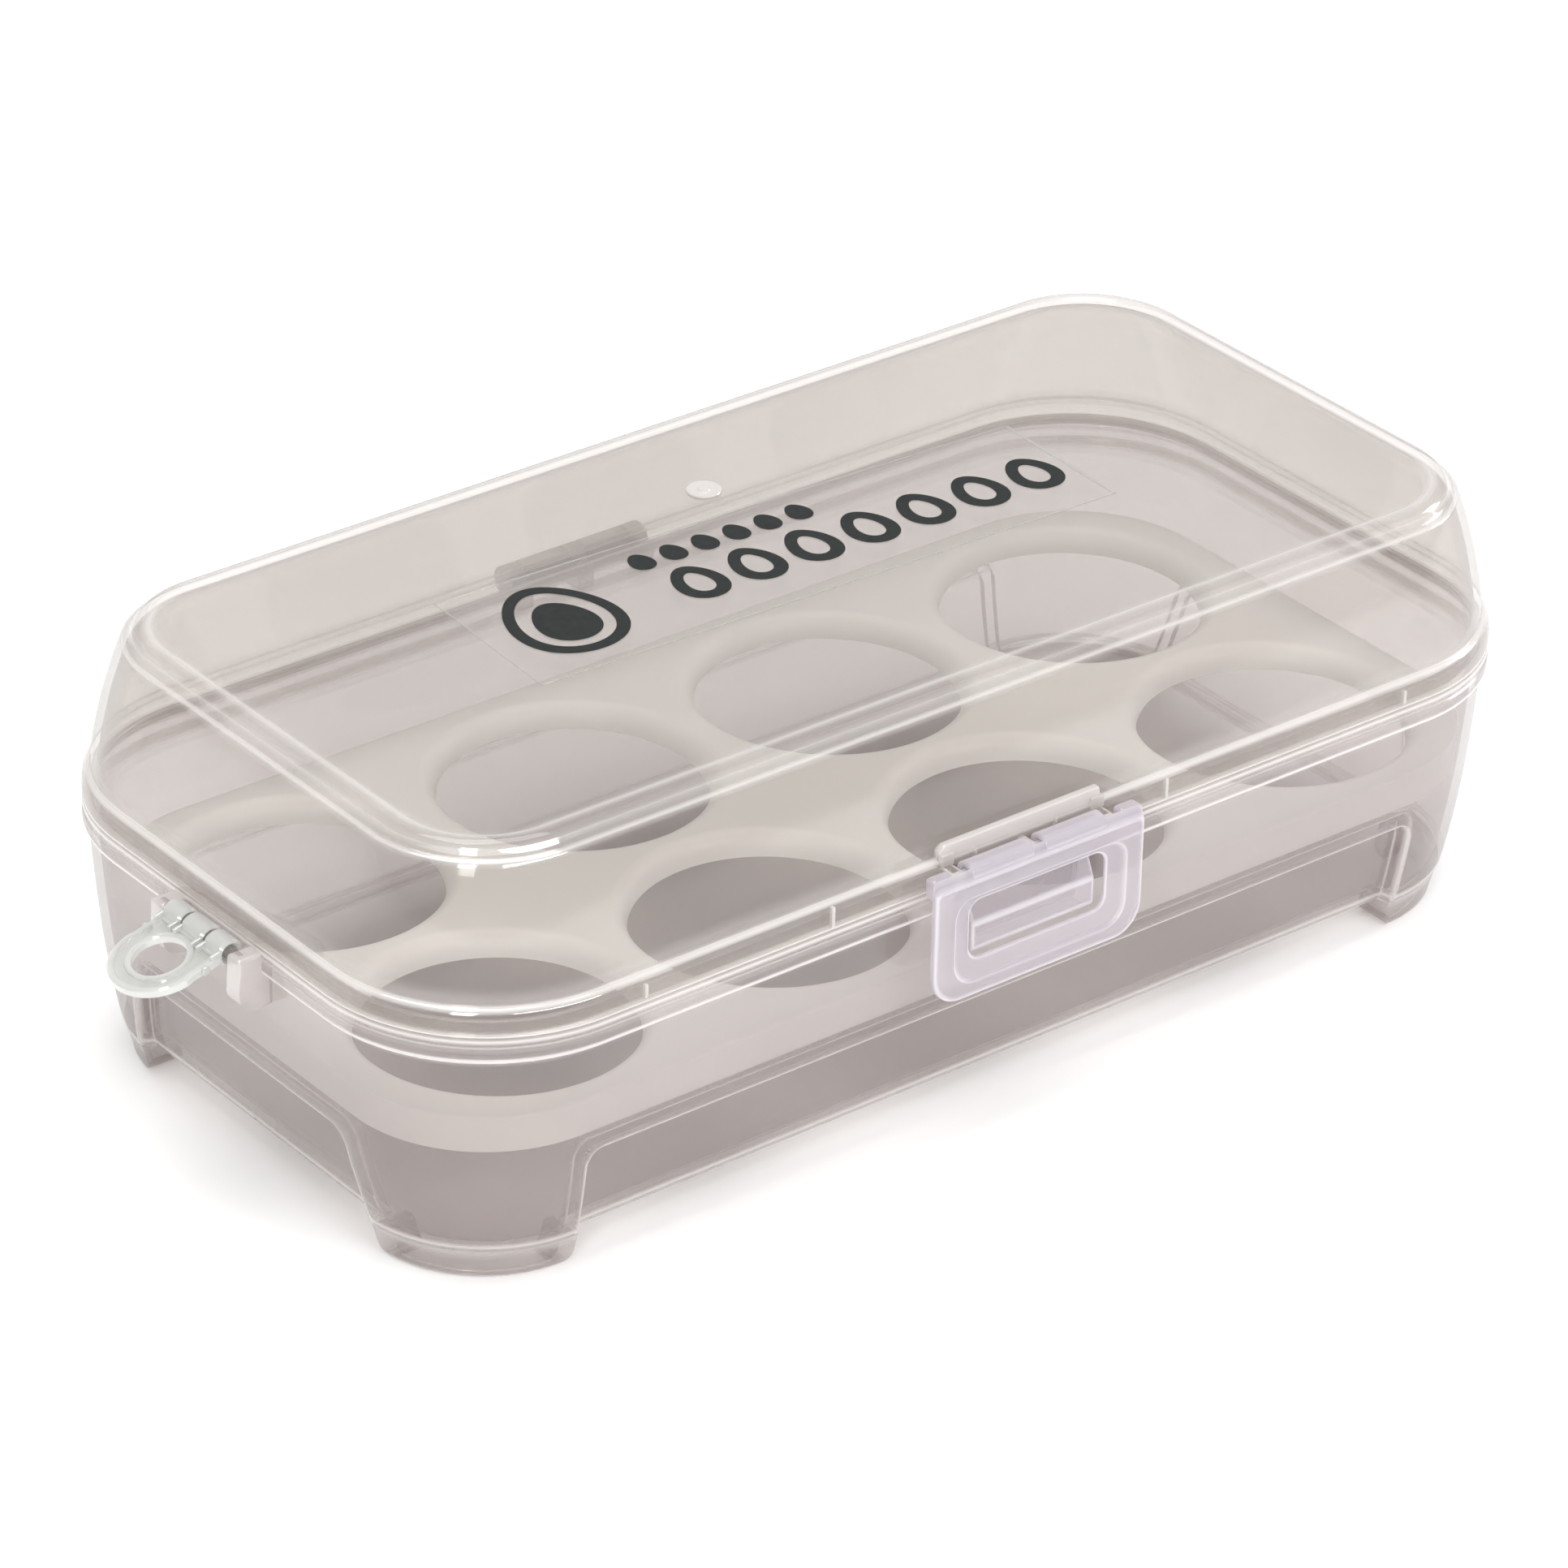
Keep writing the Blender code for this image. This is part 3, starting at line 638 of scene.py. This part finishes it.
def stations(end_edge, side_edge, turn_one, turn_two, far):
    """Distances along a quarter of the ring, close together where the panels step in."""
    places = [2.0, 9.0, 16.0, end_edge - 5.0]
    places += [end_edge - offset for offset in reversed(STEP_OFFSETS)] + [end_edge + 0.6]
    places += [turn_one + (turn_two - turn_one) * step / 22 for step in range(1, 22)]
    places += [side_edge - 0.6] + [side_edge + offset for offset in STEP_OFFSETS]
    places += [side_edge + 5.0 + (far - side_edge - 7.0) * step / 5 for step in range(6)]
    return places


def base_ring(inset, height, wall=0.0, panels=True):
    """A ring round the base, whose long sides and ends are set in between the legs."""
    inset = inset + wall
    a, b = HALF_LENGTH - inset, HALF_WIDTH - inset
    radius = radius_at(inset - wall) - wall
    bend = radius * math.pi / 2
    straight_end, straight_side = b - radius, a - radius
    total = straight_end + bend + straight_side
    end_edge = edge_at(height, LEG_END_TOP, LEG_END_BOTTOM, wall)
    side_x = edge_at(height, LEG_SIDE_TOP, LEG_SIDE_BOTTOM, wall)
    side_edge = total - side_x
    points, lines = [], []
    quarter = []
    low, high = max(end_edge + 0.6, straight_end - 1.0), min(side_edge - 0.6, straight_end + bend + 1.0)
    for place in stations(end_edge, side_edge, low, high, total):
        push, edge = 0.0, 0.0
        if panels:
            from_end = recess(end_edge - place, height, wall)
            from_side = recess(place - side_edge, height, wall)
            push, edge = max(from_end, from_side)
        if place <= straight_end:
            point = (a - push, place)
        elif place >= straight_end + bend:
            point = (total - place, b - push)
        else:
            theta = (place - straight_end) / radius
            reach = radius - push
            point = (a - radius + reach * math.cos(theta), b - radius + reach * math.sin(theta))
        quarter.append((*point, edge))
    for sx, sy in ((1, 1), (-1, 1), (-1, -1), (1, -1)):
        part = [Vector((x * sx, y * sy, height)) for x, y, _ in quarter]
        # The panels' edge lines are painted pale highlights.
        edges = [0.8 * edge for _, _, edge in quarter]
        points += part if sx * sy > 0 else part[::-1]
        lines += edges if sx * sy > 0 else edges[::-1]
    return points, lines


def wall_levels():
    """Heights of the rings down the wall, close together where the panels start."""
    levels = [36.0, 33.0, 30.0, 27.0, 24.5, 23.0, 22.2]
    levels += [21.8 - 0.25 * step for step in range(22)]
    return levels + [15.5, 14.0, 12.0, 10.0, 8.0, 6.8]


def base_shell(bm, rim, levels, bend, floor_row, wall=0.0):
    """One side of the base's skin: the rim, the wall, the bend at its foot, and the floor."""
    rings = [base_ring(row[0], row[1], 0.0, False)[0] for row in rim]
    lines = [line_of(row) for row in rim]
    for level in levels:
        points, edges = base_ring(smooth_at(WALL, level), level, wall)
        rings.append(points)
        lines.append(edges)
    for inset, height, line in bend:
        points, edges = base_ring(inset, height, wall)
        rings.append(points)
        lines.append([max(line, edge) for edge in edges])
    rings.append(base_ring(*floor_row, wall)[0])
    lines.append(0.0)
    return loft(bm, rings, (False, True), lines)


def make_base():
    bm = new_bmesh()
    levels = wall_levels()
    # Rows of the bend at the wall's foot: inset, height and a painted pale highlight line.
    bend = ((5.3, 6.0, 0.7), (5.5, 5.4, 0.2), (5.8, 4.9, 0.4), (6.2, 4.6, 0.9), (6.6, FLOOR, 0.5))
    outside = base_shell(bm, RIM_OUTSIDE, levels, bend, (7.6, FLOOR))
    bend = ((5.1, 7.2, 0.0), (5.35, 6.5, 0.1), (5.8, 6.0, 0.4), (6.4, FLOOR + SKIN, 0.3))
    inside = base_shell(bm, RIM_INSIDE, levels[:-1], bend, (7.4, FLOOR + SKIN), SKIN)
    bridge(bm, outside[0], inside[0])
    for sx in (-1, 1):
        for sy in (-1, 1):
            add_foot(bm, sx, sy)
    add_ears(bm)
    for side in (-1, 1):
        add_lug(bm, side)
    add_rod(bm, (TAB_PIVOT.x, 0, TAB_PIVOT.z), (0, 1, 0), 1.0, 20.0, 0.2, 24)
    base = add_piece("base_moulding", bm, base_milky, "base")
    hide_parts("base")


def add_foot(bm, sx, sy):
    """A curved wall that carries a leg's face below the floor, and turns in at both ends."""
    rings = []
    for height in FOOT_HEIGHTS:
        low = max(0.0, 1.0 - height / FOOT_SOFT)
        soft = FOOT_SOFT * (1.0 - math.sqrt(max(0.0, 1.0 - low * low)))
        inset = smooth_at(FOOT_INSET, height) + soft
        wall = FOOT_WALL - 1.6 * soft
        radius = radius_at(inset)
        cx, cy = HALF_LENGTH - inset - radius, HALF_WIDTH - inset - radius
        low = max(0.0, 1.0 - height / FOOT_ROUND)
        turn = FOOT_ROUND * (1.0 - math.sqrt(max(0.0, 1.0 - low * low)))
        x_end, y_end = LEG_SIDE_BOTTOM - 0.4 + turn, LEG_END_BOTTOM - 0.6 + turn
        outside = foot_arc(cx, cy, radius, x_end, y_end)
        inside = foot_arc(cx, cy, radius - wall, x_end + wall, y_end + wall)
        tip_x, tip_y = outside[0].x - FOOT_RETURN + soft, outside[-1].y - FOOT_RETURN + soft
        loop = outside
        loop += [Vector((x_end, tip_y, 0)), Vector((x_end + wall, tip_y, 0))]
        loop += inside[::-1]
        loop += [Vector((tip_x, y_end + wall, 0)), Vector((tip_x, y_end, 0))]
        rings.append([Vector((sx * point.x, sy * point.y, height)) for point in loop])
    loft(bm, rings, lines=FOOT_HIGHLIGHTS)


def foot_arc(cx, cy, radius, x_end, y_end, steps=28):
    """Points round a leg's corner, from the end side to the long side."""
    start = math.asin(max(-1.0, min(1.0, (y_end - cy) / radius)))
    stop = math.acos(max(-1.0, min(1.0, (x_end - cx) / radius)))
    angles = [start + (stop - start) * step / steps for step in range(steps + 1)]
    return [on_circle(radius, angle, 0.0, cx, cy) for angle in angles]


def make_catch():
    """The nose on the base's front that the latch snaps over."""
    bm = new_bmesh()
    x = LATCH_PIVOT.x
    section = ((-53.0, 42.0), (-55.3, 41.2), (-57.1, 37.4), (-57.1, 33.1), (-56.6, 32.6), (-52.4, 32.2))
    points = [Vector((x - CATCH_HALF, y, z)) for y, z in section]
    # The nose's edges and ridge carry painted pale highlight lines.
    add_extrusion(bm, points, (2 * CATCH_HALF, 0, 0), 0.35, 3, 0.7)
    add_piece("catch", bm, latch_clear, "base")


def add_ears(bm):
    """The rear hinge's ears and the pin that runs through them."""
    for x in EAR_X:
        add_rod(bm, (x, HINGE.y, HINGE.z), (1, 0, 0), 2.5, 3.0, line=0.5)
        add_block(bm, (x - 1.5, HALF_WIDTH - 1.0, 39.6), (x + 1.5, HINGE.y + 1.0, 42.7), 0.35, line=0.3)
    add_rod(bm, (0.0, HINGE.y, HINGE.z), (1, 0, 0), 1.1, 24.6, 0.2, 24, 0.2)


def add_lug(bm, side):
    """A bracket with a half-round lower end, beside the hang tab."""
    x = TAB_PIVOT.x
    points = [Vector((-103.0, 0, 42.8)), Vector((x - 1.4, 0, 42.8))]
    for step in range(13):
        angle = math.radians(180 + 90 * step / 12)
        points.append(Vector((x + 1.8 + LUG_ROUND * math.cos(angle), 0, 37.2 + LUG_ROUND * math.sin(angle))))
    points.append(Vector((-103.0, 0, 34.0)))
    low = LUG_NEAR if side > 0 else -LUG_NEAR - LUG_WIDTH
    known = set(bm.verts)
    add_extrusion(bm, [point + Vector((0, low, 0)) for point in points], (0, LUG_WIDTH, 0), 0.6, 3)
    # The lug is painted pale all over as an edge highlight.
    mark(bm, [vert for vert in bm.verts if vert not in known], 0.7)


# --- tray -------------------------------------------------------------------------------------------

TRAY_OUTSIDE = (
    (4.3, 22.6), (4.2, 24.5), (3.95, 27.2), (3.85, 27.9), (3.95, 28.25), (4.2, 28.45), (4.6, 28.5))
TRAY_UNDER = ((5.5, 22.6), (5.4, 24.5), (5.2, 26.6), (5.4, 27.1), (5.8, 27.3))
HOLE_RADIUS = 20.7
HOLE_PITCH = (49.0, 48.0)
DISH_STEPS = 10


def circle(centre, radius, height, sides=96):
    return [on_circle(radius, 2 * math.pi * step / sides, height, *centre) for step in range(sides)]


def edges_of(bm, row):
    """The edges of a closed row of points."""
    return [bm.edges.get((row[i - 1], row[i])) for i in range(len(row))]


def make_tray():
    """A plate with a skirt, whose eight holes have rounded dishes for their edges."""
    bm = new_bmesh()
    top = loft(bm, [ring(inset, z) for inset, z in TRAY_OUTSIDE], (False, False))
    low = loft(bm, [ring(inset, z) for inset, z in TRAY_UNDER], (False, False))
    bridge(bm, top[0], low[0])
    border_top, border_low = edges_of(bm, top[-1]), edges_of(bm, low[-1])
    top_height, low_height = TRAY_OUTSIDE[-1][1], TRAY_UNDER[-1][1]
    for column in range(4):
        for row in range(2):
            centre = ((column - 1.5) * HOLE_PITCH[0], (row - 0.5) * HOLE_PITCH[1])
            upper, lower = [], []
            for step in range(DISH_STEPS + 1):
                angle = math.radians(90 * step / DISH_STEPS)
                out, drop = 1 - math.sin(angle), 1 - math.cos(angle)
                upper.append(circle(centre, HOLE_RADIUS + 2.8 * out, top_height - 3.8 * drop))
                lower.append(circle(centre, HOLE_RADIUS + 0.96 + 2.1 * out, low_height - 2.6 * drop))
            rows_up = loft(bm, upper, (False, False))
            rows_low = loft(bm, lower, (False, False))
            bridge(bm, rows_up[-1], rows_low[-1])
            border_top += edges_of(bm, rows_up[0])
            border_low += edges_of(bm, rows_low[0])
    bmesh.ops.triangle_fill(bm, edges=border_top, use_beauty=True, normal=(0, 0, 1))
    bmesh.ops.triangle_fill(bm, edges=border_low, use_beauty=True, normal=(0, 0, -1))
    tray = add_piece("tray_moulding", bm, tray_white, "egg_tray")
    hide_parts("egg_tray")


# --- latch ------------------------------------------------------------------------------------------

LATCH_FACE, LATCH_BACK = 2.3, 1.1  # how far in front of the pin the plate's two faces are


def soft_rectangle(cx, cz, half_x, half_z, top, bottom, y, steps=10):
    """A rectangle in the XZ plane with its own corner radii at the top and the bottom."""
    points = []
    corners = ((1, 1, 0, top), (-1, 1, 90, top), (-1, -1, 180, bottom), (1, -1, 270, bottom))
    for sx, sz, start, radius in corners:
        for step in range(steps + 1):
            angle = math.radians(start + 90 * step / steps)
            x = cx + sx * (half_x - radius) + radius * math.cos(angle)
            z = cz + sz * (half_z - radius) + radius * math.sin(angle)
            points.append(Vector((x, y, z)))
    return points


def make_latch():
    """The flap that snaps over the catch."""
    bm = new_bmesh()
    x, y, z = LATCH_PIVOT
    face, back = y - LATCH_FACE, y - LATCH_BACK

    def plate(half_width, bottom, top, round_top, round_bottom, depth, shift=0.0):
        return soft_rectangle(
            x + shift, (bottom + top) / 2, half_width, (top - bottom) / 2, round_top, round_bottom, depth)

    rings = [
        plate(19.15, 26.9, 47.0, 0.8, 4.6, back),
        plate(19.4, 26.62, 47.28, 1.0, 4.9, back - 0.12),
        plate(19.5, 26.5, 47.38, 1.0, 5.0, back - 0.3),
        plate(19.5, 26.5, 46.4, 1.0, 5.0, face + 0.55),
        plate(19.45, 26.55, 45.9, 1.0, 4.95, face + 0.25),
        plate(19.3, 26.7, 45.6, 1.0, 4.8, face + 0.08),
        plate(19.0, 27.0, 45.35, 0.9, 4.6, face),
        plate(18.6, 27.4, 45.0, 0.8, 4.4, face),
        plate(16.3, 28.5, 43.3, 3.4, 4.2, face, 0.3),
        plate(16.05, 28.75, 43.05, 3.2, 4.0, face + 0.08, 0.3),
        plate(15.4, 29.4, 42.8, 3.0, 3.7, face + 0.45, 0.25),
        plate(15.0, 29.8, 42.6, 2.8, 3.5, face + 0.52, 0.2),
        plate(13.2, 31.8, 42.4, 2.4, 2.6, face + 0.52),
        plate(12.9, 32.1, 42.1, 2.2, 2.4, face + 0.58),
        plate(12.7, 32.3, 41.9, 2.1, 2.3, face + 0.75),
        plate(12.7, 32.3, 41.9, 2.1, 2.3, back - 0.1),
        plate(12.9, 32.1, 42.1, 2.3, 2.5, back),
    ]
    # A painted pale highlight line for each ring of the plate.
    lines = [0.3, 0.4, 0.5, 0.3, 0.5, 0.8, 0.5, 0.05, 0.0, 0.6, 0.1, 0.0, 0.0, 0.7, 0.5, 0.3, 0.3]
    rows = loft(bm, rings, (False, False), lines)
    bridge(bm, rows[-1], rows[0])
    for low, high in ((-12.6, -1.0), (1.0, 12.6)):
        add_tube(bm, (x + (low + high) / 2, y, z), (1, 0, 0), 1.1, 2.0, high - low, line=0.45)
        add_block(bm, (x + low, back - 0.3, z + 0.4), (x + high, y - 0.6, z + 1.6), 0.25, line=0.5)
    for low, high in ((-19.4, -15.5), (15.5, 19.4)):
        add_block(bm, (x + low, back - 0.4, z - 1.7), (x + high, y + 0.7, z + 1.55), 0.6, 3, 0.35)
    latch = add_piece("latch_moulding", bm, latch_clear, "latch")
    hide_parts("latch")


# --- hang tab ---------------------------------------------------------------------------------------

TAB_REACH, TAB_RADIUS, TAB_HOLE, TAB_HALF_WIDTH = 7.4, 7.6, 4.1, 7.4
TAB_HALF = 0.75  # half of the tab's thickness
TAB_TILT = 15.0
TAB_BARRELS = ((-5.25, 4.3), (0.0, 5.2), (5.25, 4.3))  # middle and length of each barrel on the pin


def make_tab():
    """A flat ring on three barrels, with raised rims round its outline and its hole."""
    bm = new_bmesh()
    steps = 96

    def outline(grow):
        """The tab's outline from above: a disc that runs straight on to the hinge."""
        points = []
        for step in range(steps):
            angle = 2 * math.pi * step / steps
            px, py = math.cos(angle), math.sin(angle)
            size = TAB_RADIUS + grow
            if px > 0.05:
                to_barrels = (TAB_REACH - 1.5 + grow) / px
                to_side = (TAB_HALF_WIDTH + grow) / max(abs(py), 1e-6)
                size = min(to_barrels, to_side)
            points.append(Vector((-TAB_REACH + size * px, size * py, 0)))
        return points

    def round_hole(grow):
        return [
            on_circle(TAB_HOLE + grow, 2 * math.pi * step / steps, 0.0, -TAB_REACH) for step in range(steps)]

    # Rows as (shape, growth, height, painted pale highlight line).
    section = (
        (round_hole, 0.25, -TAB_HALF, 0.7), (round_hole, 0.0, -TAB_HALF + 0.25, 0.8),
        (round_hole, 0.0, TAB_HALF - 0.25, 0.8), (round_hole, 0.25, TAB_HALF, 0.6),
        (round_hole, 0.85, TAB_HALF, 0.4), (round_hole, 1.05, TAB_HALF - 0.35, 0.1),
        (outline, -1.15, TAB_HALF - 0.35, 0.1), (outline, -0.95, TAB_HALF, 0.4),
        (outline, -0.25, TAB_HALF, 0.6), (outline, 0.0, TAB_HALF - 0.25, 0.8),
        (outline, 0.0, -TAB_HALF + 0.25, 0.8), (outline, -0.25, -TAB_HALF, 0.7))
    rings = [[point + Vector((0, 0, height)) for point in shape(grow)] for shape, grow, height, _ in section]
    rows = loft(bm, rings, (False, False), [line for _, _, _, line in section])
    bridge(bm, rows[-1], rows[0])
    for centre, length in TAB_BARRELS:
        # The barrels carry a strong painted pale highlight.
        add_tube(bm, (0, centre, 0), (0, 1, 0), 1.3, 2.1, length, 0.45, line=0.75)
    for py in (-7.0, -3.5, -2.3, 2.3, 3.5, 7.0):
        add_block(bm, (-3.2, py - 0.3, 0.1), (-1.4, py + 0.3, 1.35), 0.2, line=0.7)
    for side in (-1, 1):
        add_rod(bm, (-4.6, side * 7.25, 0), (0, 1, 0), 0.75, 1.1, 0.25, 20, 0.5)
    tilt = Matrix.Rotation(-math.radians(TAB_TILT), 4, "Y")
    bmesh.ops.transform(bm, matrix=Matrix.Translation(TAB_PIVOT) @ tilt, verts=bm.verts)
    tab = add_piece("hang_tab_moulding", bm, tab_clear, "hang_tab")
    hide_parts("hang_tab")


# --- stage, light and camera ------------------------------------------------------------------------

CAMERA_TURNS = (-38.73, 29.77, 1.28)  # degrees of azimuth, elevation and roll
CAMERA_AIM = (0.0, 0.0, 38.0)
CAMERA_LEFT, CAMERA_DOWN = 2.46, 7.27  # how far the camera slides from its aim, across its own view
CAMERA_DISTANCE = 1051.4
CAMERA_LENS = 161.45


def make_floor():
    bm = new_bmesh()
    bmesh.ops.create_grid(bm, x_segments=4, y_segments=4, size=6.0)
    mesh = bpy.data.meshes.new("floor")
    bm.to_mesh(mesh)
    bm.free()
    floor = bpy.data.objects.new("floor", mesh)
    floor.location = (0.0, 0.0, -0.0002)
    bpy.context.scene.collection.objects.link(floor)
    material, tree = new_material("floor_white")
    solid = put(tree, "ShaderNodeBsdfPrincipled", Roughness=0.9)
    solid.inputs["Base Color"].default_value = (0.93, 0.93, 0.93, 1.0)
    solid.inputs["Specular IOR Level"].default_value = 0.1
    show(tree, solid)
    mesh.materials.append(material)


def add_area(name, place, target, size, power, colour=(1.0, 1.0, 1.0)):
    """A soft rectangular light, in metres and watts, aimed at a point."""
    light = bpy.data.lights.new(name, "AREA")
    light.shape = "RECTANGLE"
    light.size, light.size_y = size
    light.energy = power
    light.color = colour
    item = bpy.data.objects.new(name, light)
    item.location = place
    item.rotation_euler = (Vector(target) - Vector(place)).to_track_quat("-Z", "Y").to_euler()
    bpy.context.scene.collection.objects.link(item)


def light_scene():
    world = bpy.data.worlds.new("studio")
    bpy.context.scene.world = world
    world.use_nodes = True
    back = world.node_tree.nodes["Background"]
    back.inputs["Color"].default_value = (1.0, 1.0, 1.0, 1.0)
    back.inputs["Strength"].default_value = 0.7
    add_area("top_soft", (0.0, 0.1, 1.4), (0.0, 0.0, 0.0), (1.3, 0.9), 13.0)
    add_area("left_strip", (-1.0, -0.8, 0.75), (0.0, 0.0, 0.03), (0.3, 0.7), 7.0, (1.0, 1.0, 0.97))
    add_area("front_strip", (0.1, -1.25, 0.9), (0.0, 0.0, 0.03), (1.3, 0.16), 8.5)
    add_area("right_soft", (1.3, -0.3, 0.6), (0.0, 0.0, 0.03), (0.4, 0.6), 4.0, (1.0, 0.95, 0.98))
    scene = bpy.context.scene
    scene.view_settings.view_transform = "Standard"
    scene.view_settings.look = "None"
    scene.cycles.transparent_max_bounces = 48


def make_camera():
    azimuth, elevation, roll = (math.radians(angle) for angle in CAMERA_TURNS)
    level = Vector((math.cos(azimuth), math.sin(azimuth), 0.0))
    flat = math.cos(elevation)
    back = Vector((math.sin(azimuth) * flat, -math.cos(azimuth) * flat, math.sin(elevation)))
    upright = back.cross(level)
    right = math.cos(roll) * level + math.sin(roll) * upright
    up = math.cos(roll) * upright - math.sin(roll) * level
    data = bpy.data.cameras.new("camera")
    data.sensor_width = 36.0
    data.lens = CAMERA_LENS
    data.clip_start = 0.01
    camera = bpy.data.objects.new("camera", data)
    aim = Vector(CAMERA_AIM) - CAMERA_LEFT * right - CAMERA_DOWN * up
    place = (aim + CAMERA_DISTANCE * back + SHIFT) * MM
    turn = Matrix((right, up, back)).transposed().to_4x4()
    camera.matrix_world = Matrix.Translation(place) @ turn
    bpy.context.scene.collection.objects.link(camera)
    bpy.context.scene.camera = camera


make_camera()
make_floor()
light_scene()
make_base()
make_catch()
make_tray()
make_lid()
make_label()
make_latch()
make_tab()
